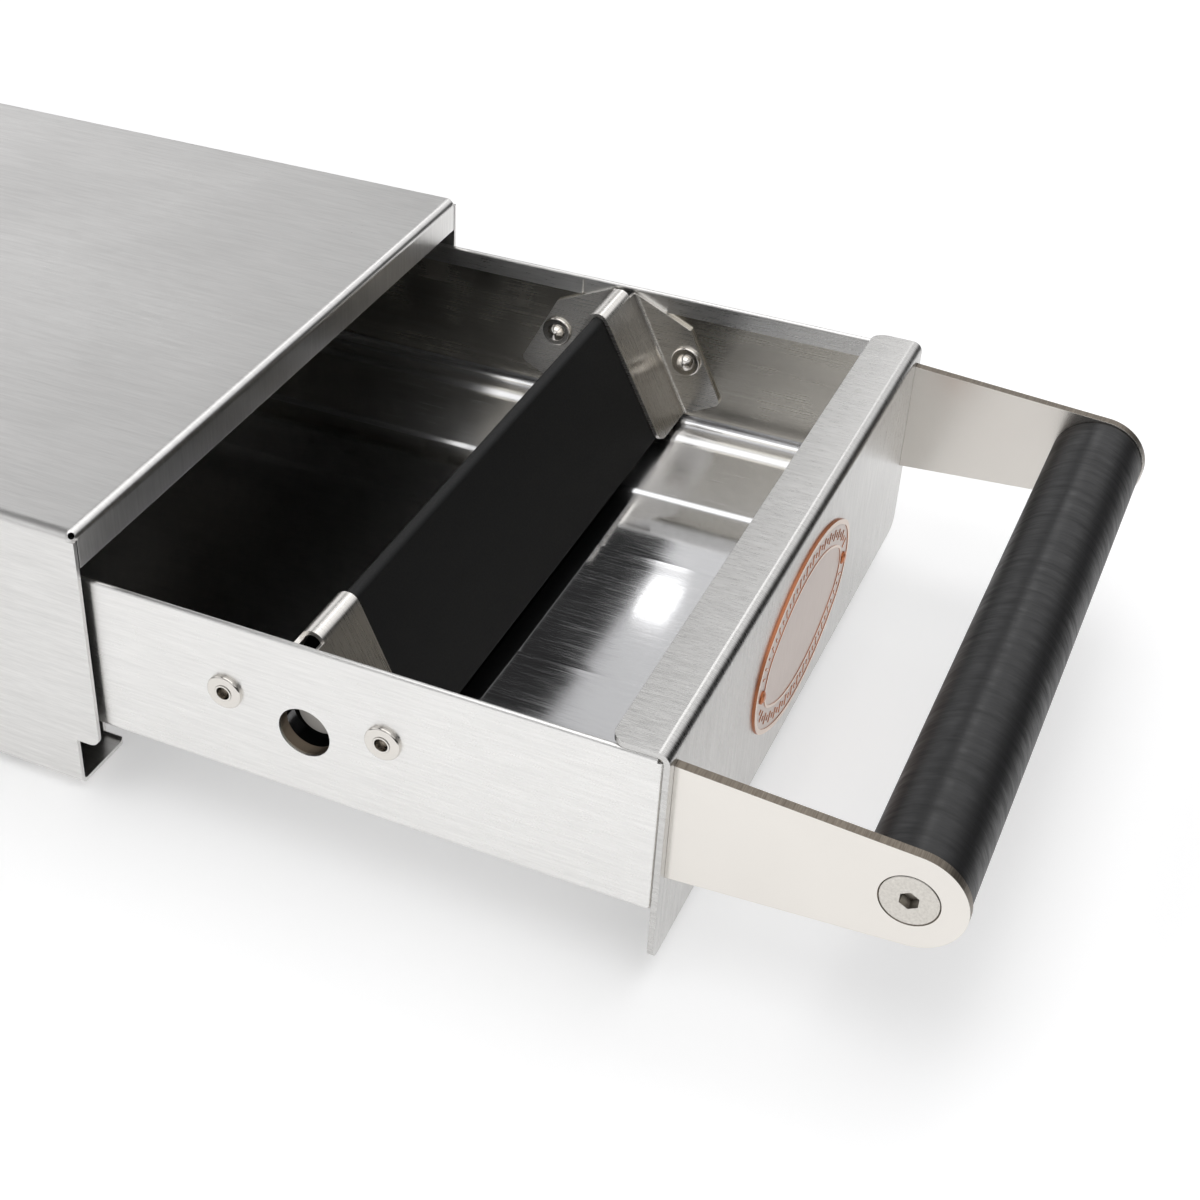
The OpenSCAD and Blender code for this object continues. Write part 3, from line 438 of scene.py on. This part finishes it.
def badge_ticks():
    """A ring of ticks between the rim and the inner line, long and short in turn, with sloping sides."""
    low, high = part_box("badge")
    half_wide, half_high = (high.x - low.x) / 2, (high.z - low.z) / 2
    centre = Vector(((low.x + high.x) / 2, low.y, (low.z + high.z) / 2))
    # the oval's outline is four arcs: two round its ends, and two flat ones
    end_radius = 17 * MM
    end_x, slim = half_wide - end_radius, half_high - end_radius
    drop = (end_x ** 2 - slim ** 2) / (2 * slim)
    half_flat = math.atan2(end_x, drop)
    half_round = math.pi / 2 - half_flat
    # the ring lies this far inside the outline, and its ticks this far apart
    inset, pitch = 4.3 * MM, 2.6 * MM
    flat_radius, round_radius = half_high + drop - inset, end_radius - inset
    # a tick is 0.2 mm high, stands a little in the field, and is smaller at the top by its slope all round
    height, sunk, slope = 0.2 * MM, 0.02 * MM, 0.2 * MM
    half_thick, half_of_long, half_of_short = 0.4 * MM, 1.6 * MM, 0.8 * MM
    # the pins sit this far in from the oval's ends, and no tick stands this close to one
    pin_inset, pin_room = 5 * MM, 3.2 * MM
    pins = [Vector((end * (half_wide - pin_inset), 0)) for end in (-1, 1)]

    def arc(middle, radius, towards, half):
        count = round(2 * half * radius / pitch)
        for step in range(count):
            yield middle, radius, towards + half * (2 * (step + 0.5) / count - 1)

    places = [
        *arc(Vector((0, -drop)), flat_radius, math.pi / 2, half_flat),
        *arc(Vector((-end_x, 0)), round_radius, math.pi, half_round),
        *arc(Vector((0, drop)), flat_radius, -math.pi / 2, half_flat),
        *arc(Vector((end_x, 0)), round_radius, 0.0, half_round)]
    mesh = bmesh.new()
    for number, (middle, radius, angle) in enumerate(places):
        out = Vector((math.cos(angle), math.sin(angle)))
        side = Vector((-out.y, out.x))
        spot = middle + out * radius
        if min((spot - pin).length for pin in pins) < pin_room:
            continue
        half_long = half_of_long if number % 2 else half_of_short
        rings = []
        for inward, depth in ((0.0, height + sunk), (slope, 0.0)):
            along, across = out * (half_long - inward), side * (half_thick - inward)
            corners = [spot + along * a + across * b for a, b in ((-1, -1), (1, -1), (1, 1), (-1, 1))]
            rings.append([
                mesh.verts.new((centre.x + c.x, centre.y + depth, centre.z + c.y)) for c in corners])
        foot, top = rings
        mesh.faces.new(top)
        mesh.faces.new(foot[::-1])
        for i in range(4):
            following = (i + 1) % 4
            mesh.faces.new((foot[i], foot[following], top[following], top[i]))
    bmesh.ops.recalc_face_normals(mesh, faces=mesh.faces)
    data = bpy.data.meshes.new("badge_ticks")
    mesh.to_mesh(data)
    mesh.free()
    data.materials.append(badge_copper)
    piece = bpy.data.objects.new("badge_ticks", data)
    bpy.context.scene.collection.objects.link(piece)
    return piece


ticks = badge_ticks()
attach(ticks, "drawer")


# HANDLE ARMS
# Two bars of 2.5 mm stainless steel, cut by laser, tumbled and polished to a warm satin. Each goes through
# its slots and is bent to a foot behind the plate.

def laser_cut(tree, face):
    """The face's shader where the bar looks sideways, and on its edges the brown-grey cut of the laser.

    The cut is ridged across the bar. The ridges are drawn twice as coarse as real ones, to show.
    """
    ridge_mm, length_mm, depth_mm, sideways = 0.3, 6, 0.05, 0.8
    place = add(tree, "TexCoord").outputs["Object"]
    scale = (1 / (length_mm * MM), 1 / (ridge_mm * MM), 1 / (ridge_mm * MM))
    stretched = add(tree, "VectorMath", {0: place, 1: scale}, operation="MULTIPLY").outputs[0]
    ridges = add(tree, "TexNoise", {"Vector": stretched, "Scale": 1.0, "Detail": 2.0}).outputs[0]
    colour = add(tree, "Mix", {
        0: ridges, 6: linear("4d463e"), 7: linear("9a9185")}, data_type="RGBA").outputs[2]
    relief = add(tree, "Bump", {
        "Height": ridges, "Strength": 0.6, "Distance": depth_mm * MM}).outputs[0]
    cut = add(tree, "BsdfPrincipled", {
        "Base Color": colour, "Metallic": 1.0, "Roughness": 0.4, "Normal": relief})
    normal = add(tree, "NewGeometry").outputs["True Normal"]
    along_x = add(tree, "SeparateXYZ", {0: normal}).outputs["X"]
    facing = add(tree, "Math", {0: along_x}, operation="ABSOLUTE").outputs[0]
    is_face = add(tree, "Math", {0: facing, 1: sideways}, operation="GREATER_THAN").outputs[0]
    return add(tree, "MixShader", {0: is_face, 1: cut.outputs[0], 2: face.outputs[0]})


def satin_steel(name, light, dark, roughness, grain_mm, metallic=1.0, cut=False):
    """Steel with a satin surface, tumbled, turned or sawn: almost no grain, and an even sheen.

    grain_mm is drawn coarser than the real grain of 0.1 mm, which would not show.
    """
    cloud_mm, change, edge_mm, depth_mm = 25, 0.04, 0.2, 0.01
    material, tree = new_material(name)
    place = add(tree, "TexCoord").outputs["Object"]
    grain = add(tree, "TexNoise", {
        "Vector": place, "Scale": 1 / (grain_mm * MM), "Detail": 3.0}).outputs[0]
    clouds = add(tree, "TexNoise", {
        "Vector": place, "Scale": 1 / (cloud_mm * MM), "Detail": 2.0}).outputs[0]
    colour = add(tree, "Mix", {
        0: clouds, 6: linear(dark), 7: linear(light)}, data_type="RGBA").outputs[2]
    rough = add(tree, "MapRange", {
        0: grain, **MOST_NOISE, 3: roughness - change, 4: roughness + change}).outputs[0]
    edge = add(tree, "Bevel", {"Radius": edge_mm * MM}, samples=4).outputs[0]
    relief = add(tree, "Bump", {
        "Height": grain, "Strength": 0.3, "Distance": depth_mm * MM, "Normal": edge}).outputs[0]
    face = add(tree, "BsdfPrincipled", {
        "Base Color": colour, "Metallic": metallic, "Roughness": rough, "Normal": relief})
    finish_material(tree, laser_cut(tree, face) if cut else face)
    return material


arm_steel = satin_steel(
    "tumbled_stainless_bar", light="e9e5df", dark="e2ded8", roughness=0.22, grain_mm=0.4, cut=True)
dress(arm_steel, "handle_arm_left", "handle_arm_right")


# GRIP
# A tube covered with black rubber and ground round after moulding. A threaded steel plug is pressed in each
# end, for the screws that come through the arms.

def ground_rubber():
    """Rubber ground on a lathe: fine rings round the grip, in bands, which break its highlight into lines.

    The rings are drawn at 0.9 mm. Real ones are 0.3 mm wide, too fine to show.
    """
    ring_mm, length_mm, edge_mm, depth_mm = 0.9, 6, 0.3, 0.08
    band_rings = 2.5
    dark_at, light_at, dark_roughness, light_roughness = 0.7, 1.3, 0.5, 0.3
    material, tree = new_material("ground_black_rubber")
    place = add(tree, "TexCoord").outputs["Object"]
    scale = (1 / (ring_mm * MM), 1 / (length_mm * MM), 1 / (length_mm * MM))
    stretched = add(tree, "VectorMath", {0: place, 1: scale}, operation="MULTIPLY").outputs[0]
    rings = add(tree, "TexNoise", {
        "Vector": stretched, "Scale": 1.0, "Detail": 4.0, "Roughness": 0.7}).outputs[0]
    bands = add(tree, "TexNoise", {
        "Vector": stretched, "Scale": 1 / band_rings, "Detail": 2.0}).outputs[0]
    ground = add(tree, "Math", {0: rings, 1: bands}, operation="ADD").outputs[0]
    tone = add(tree, "MapRange", {0: ground, 1: dark_at, 2: light_at}).outputs[0]
    colour = add(tree, "Mix", {
        0: tone, 6: linear("060607"), 7: linear("1c1c1d")}, data_type="RGBA").outputs[2]
    rough = add(tree, "MapRange", {0: tone, 3: dark_roughness, 4: light_roughness}).outputs[0]
    edge = add(tree, "Bevel", {"Radius": edge_mm * MM}, samples=4).outputs[0]
    relief = add(tree, "Bump", {
        "Height": ground, "Strength": 0.6, "Distance": depth_mm * MM, "Normal": edge}).outputs[0]
    along_grip = add(tree, "CombineXYZ", {0: 1.0}).outputs[0]
    finish_material(tree, add(tree, "BsdfPrincipled", {
        "Base Color": colour, "Roughness": rough, "IOR": 1.52, "Anisotropic": 0.7,
        "Tangent": along_grip, "Normal": relief}))
    return material


dress(ground_rubber(), "grip_tube")
plug_steel = satin_steel(
    "turned_steel_plug", light="d8d4ce", dark="c9c5bf", roughness=0.4, grain_mm=0.4)
dress(plug_steel, "grip_plug_left", "grip_plug_right")


# HANDLE SCREWS
# Countersunk M6 screws with a hexagon socket, cold-headed from stainless steel. They come through the arms
# and hold the grip between them.

def cold_headed_stainless():
    """Cold-headed stainless: pale, with a fine dull mottle over the head and painted shade, dark brown, in
    the socket.
    """
    mottle_mm, edge_mm, depth_mm = 0.6, 0.25, 0.03
    material, tree = new_material("cold_headed_stainless")
    place = add(tree, "TexCoord").outputs["Object"]
    mottle = add(tree, "TexNoise", {
        "Vector": place, "Scale": 1 / (mottle_mm * MM), "Detail": 3.0}).outputs[0]
    unshaded = add(tree, "Mix", {
        0: mottle, 6: linear("b9b5ae"), 7: linear("e6e2db")}, data_type="RGBA").outputs[2]
    edge = add(tree, "Bevel", {"Radius": edge_mm * MM}, samples=4).outputs[0]
    relief = add(tree, "Bump", {
        "Height": mottle, "Strength": 0.4, "Distance": depth_mm * MM, "Normal": edge}).outputs[0]
    finish_material(tree, add(tree, "BsdfPrincipled", {
        # painted shade: dark brown in the hexagon socket
        "Base Color": painted_shade_in_holes(tree, unshaded), "Metallic": 1.0, "Roughness": 0.3,
        "Normal": relief}))
    return material


dress(cold_headed_stainless(), "handle_screws")


# BAR BRACKETS
# Saddles of 1.2 mm stainless steel, brushed finer than the housing and folded over the ends of the bar. Their
# wings lie on the walls.

# painted light: the brackets are the housing's 1.2 mm steel, drawn lighter all over
bracket_sheet = brushed_stainless(
    "brushed_stainless_bracket_painted_light", light="f4f1ec", dark="e9e6e1", roughness=0.28,
    line_mm=0.2, length_mm=12, depth_mm=0.003)
dress(bracket_sheet, "bar_bracket_left", "bar_bracket_right")


# BAR RIVETS
# The same blind rivets as at the back, of nickel-plated steel. Each was pulled from outside, through the wall
# and a wing of a bracket.

dress(fixing_metal, "bar_rivets")


# BAR COLLARS
# Short rings cut from steel tube and welded behind the round holes of the walls, so that the rod's ends show
# through them. The weld left them brown-grey.

collar_steel = satin_steel(
    "welded_tube_steel", light="b5a899", dark="8d8173", roughness=0.36, grain_mm=0.8)
dress(collar_steel, "bar_collars")


# KNOCK BAR
# An extrusion of black rubber in the form of an A, with a solid rod of bright steel in the boss under its
# apex. The rod's ends were sawn and left rough, so they look pale and hardly mirror anything.

bar_rubber = black_rubber(
    "extruded_black_rubber", "070708", roughness=0.55, grain_mm=0.5, depth_mm=0.02)
dress(bar_rubber, "knock_bar_cover")
rod_steel = satin_steel(
    "sawn_bright_steel", light="faf8f4", dark="cfcbc4", roughness=0.5, grain_mm=0.6, metallic=0.15)
dress(rod_steel, "knock_bar_rod")


# GROUND AND BACKDROP
# A white table that runs on behind the object. It keeps the soft shadow, and glows a little for the eye and
# for reflections, so that it reads as pure white. Steel and rubber mirror the dark room past its front edge.

TABLE_SIZE = 12
TABLE_GLOW = 0.28
# the edge lies 0.2 m in front of the grip, and its mirror image fades over 60 mm
EDGE_FROM, EDGE_TO = -0.44, -0.5

bpy.ops.mesh.primitive_plane_add(size=TABLE_SIZE)
ground = bpy.context.object
ground.name = "ground"
table_paint, tree = new_material("white_table_paint")
rays = add(tree, "LightPath").outputs
seen = add(tree, "Math", {
    0: rays["Is Camera Ray"], 1: rays["Is Glossy Ray"]}, operation="MAXIMUM").outputs[0]
seen = add(tree, "Math", {0: seen, 1: rays["Is Transmission Ray"]}, operation="MAXIMUM").outputs[0]
paint = add(tree, "BsdfDiffuse", {"Color": linear("f2f2f2")})
glow = add(tree, "Emission", {"Color": linear("ffffff"), "Strength": TABLE_GLOW})
unlit = add(tree, "Emission", {"Strength": 0.0})
lift = add(tree, "MixShader", {0: seen, 1: unlit.outputs[0], 2: glow.outputs[0]})
table = add(tree, "AddShader", {0: paint.outputs[0], 1: lift.outputs[0]})
table_place = add(tree, "TexCoord").outputs["Object"]
ahead = add(tree, "SeparateXYZ", {0: table_place}).outputs["Y"]
past_edge = add(tree, "MapRange", {0: ahead, 1: EDGE_FROM, 2: EDGE_TO}).outputs[0]
mirrored = add(tree, "Math", {0: past_edge, 1: rays["Is Glossy Ray"]}, operation="MULTIPLY").outputs[0]
finish_material(tree, add(tree, "MixShader", {0: mirrored, 1: table.outputs[0], 2: unlit.outputs[0]}))
ground.data.materials.append(table_paint)


# LIGHT
# A white room, brightest just above the horizon and dark in front. A large softbox hangs overhead, with a
# dark gap between its back edge and the backdrop. At the right hang a strip and a small lamp, which shows in
# the floor of the drawer.

# how bright the room is at each height of a direction, from 0 at the horizon to 1 straight up
ROOM_LEVELS = ((0.0, 0.1), (0.14, 0.1), (0.26, 1.1), (0.45, 1.1), (0.6, 0.72), (0.75, 0.6), (1.0, 0.45))
ROOM_BLUE = 1.01
UNLIT_LEVEL = 0.04
# how far back a direction leans for its height, where the dark gap starts and where it ends
GAP_START, GAP_END = (0.447, 0.456), (0.70, 0.82)
# the room is dark in front, up to 30 degrees
FRONT_FROM, FRONT_TO = -0.3, -0.5
FRONT_TOP = (0.36, 0.52)

world = bpy.data.worlds.new("white_room")
bpy.context.scene.world = world
world.use_nodes = True
tree = world.node_tree
tree.nodes.clear()
sees_room = add(tree, "LightPath").outputs["Is Camera Ray"]
direction = add(tree, "TexCoord").outputs["Generated"]
way = add(tree, "SeparateXYZ", {0: direction}).outputs
ramp = add(tree, "ValToRGB", {0: way["Z"]})
while len(ramp.color_ramp.elements) < len(ROOM_LEVELS):
    ramp.color_ramp.elements.new(0.5)
for stop, (height, level) in zip(ramp.color_ramp.elements, ROOM_LEVELS):
    stop.position = height
    stop.color = (level, level, level * ROOM_BLUE, 1)
# directions near the horizon count as a little higher, so that nothing is divided by zero
safe_height = add(tree, "Math", {0: way["Z"], 1: 0.05}, operation="MAXIMUM").outputs[0]
lean = add(tree, "Math", {0: way["Y"], 1: safe_height}, operation="DIVIDE").outputs[0]
past_start = add(tree, "MapRange", {0: lean, 1: GAP_START[0], 2: GAP_START[1]}).outputs[0]
before_end = add(tree, "MapRange", {0: lean, 1: GAP_END[0], 2: GAP_END[1], 3: 1.0, 4: 0.0}).outputs[0]
gap = add(tree, "Math", {0: past_start, 1: before_end}, operation="MULTIPLY").outputs[0]
in_front = add(tree, "MapRange", {0: way["Y"], 1: FRONT_FROM, 2: FRONT_TO}).outputs[0]
low_down = add(tree, "MapRange", {
    0: way["Z"], 1: FRONT_TOP[0], 2: FRONT_TOP[1], 3: 1.0, 4: 0.0}).outputs[0]
dark_front = add(tree, "Math", {0: in_front, 1: low_down}, operation="MULTIPLY").outputs[0]
darkness = add(tree, "Math", {0: dark_front, 1: gap}, operation="MAXIMUM").outputs[0]
strength = add(tree, "MapRange", {0: darkness, 3: 1.0, 4: UNLIT_LEVEL}).outputs[0]
room = add(tree, "Background", {"Color": ramp.outputs[0], "Strength": strength})
white = add(tree, "Background", {"Color": linear("ffffff"), "Strength": 1.0})
shown = add(tree, "MixShader", {0: sees_room, 1: room.outputs[0], 2: white.outputs[0]})
add(tree, "OutputWorld", {"Surface": shown.outputs[0]})


def softbox(name, place, target, width, depth, radiance):
    """A softbox at a place in metres that looks at a target. A radiance of 1 would show it as white."""
    lamp = bpy.data.lights.new(name, "AREA")
    lamp.shape = "RECTANGLE"
    lamp.size, lamp.size_y = width, depth
    lamp.energy = radiance * math.pi * width * depth
    holder = bpy.data.objects.new(name, lamp)
    bpy.context.scene.collection.objects.link(holder)
    holder.location = place
    holder.rotation_mode = "QUATERNION"
    holder.rotation_quaternion = (Vector(target) - Vector(place)).to_track_quat("-Z", "Y")


softbox("softbox_overhead", place=(0.0, -0.28, 1.5), target=(0.0, -0.28, 0.0),
        width=2.0, depth=1.6, radiance=1.15)
softbox("lamp_at_the_right", place=(1.315, 0.267, 1.026), target=(1.315, 0.267, 0.0),
        width=0.075, depth=0.04, radiance=1.8)
softbox("strip_at_the_right", place=(1.32, -0.05, 1.2), target=(0.0, -0.2, 0.05),
        width=0.3, depth=0.5, radiance=1.5)


# CAMERA
# A 59 mm lens, 0.54 m from the drawer, at the left of the handle. Its place and turn were solved from the
# object's right angles, and its frame is 1200 by 1200 pixels with the axis left of the middle.

IMAGE_PIXELS = 1200
FOCAL_PIXELS, CENTRE_X = 1976.8, 425.0
STAND = (-0.41442, -0.30488, 0.35151)
AZIMUTH, ELEVATION, ROLL = (math.radians(v) for v in (-63.324, 36.379, -0.127))

lens = bpy.data.cameras.new("picture_camera")
camera = bpy.data.objects.new("picture_camera", lens)
bpy.context.scene.collection.objects.link(camera)
back = Vector((
    math.sin(AZIMUTH) * math.cos(ELEVATION), -math.cos(AZIMUTH) * math.cos(ELEVATION), math.sin(ELEVATION)))
level_right = Vector((math.cos(AZIMUTH), math.sin(AZIMUTH), 0.0))
level_up = back.cross(level_right)
right = level_right * math.cos(ROLL) + level_up * math.sin(ROLL)
up = level_up * math.cos(ROLL) - level_right * math.sin(ROLL)
turn = Matrix((right, up, back)).transposed()
camera.matrix_world = Matrix.Translation(STAND) @ turn.to_4x4()
lens.sensor_width = 36
lens.lens = FOCAL_PIXELS * lens.sensor_width / IMAGE_PIXELS
lens.shift_x = (IMAGE_PIXELS / 2 - CENTRE_X) / IMAGE_PIXELS
lens.clip_start, lens.clip_end = 0.01, 100
bpy.context.scene.camera = camera
bpy.context.scene.view_settings.view_transform = "Standard"
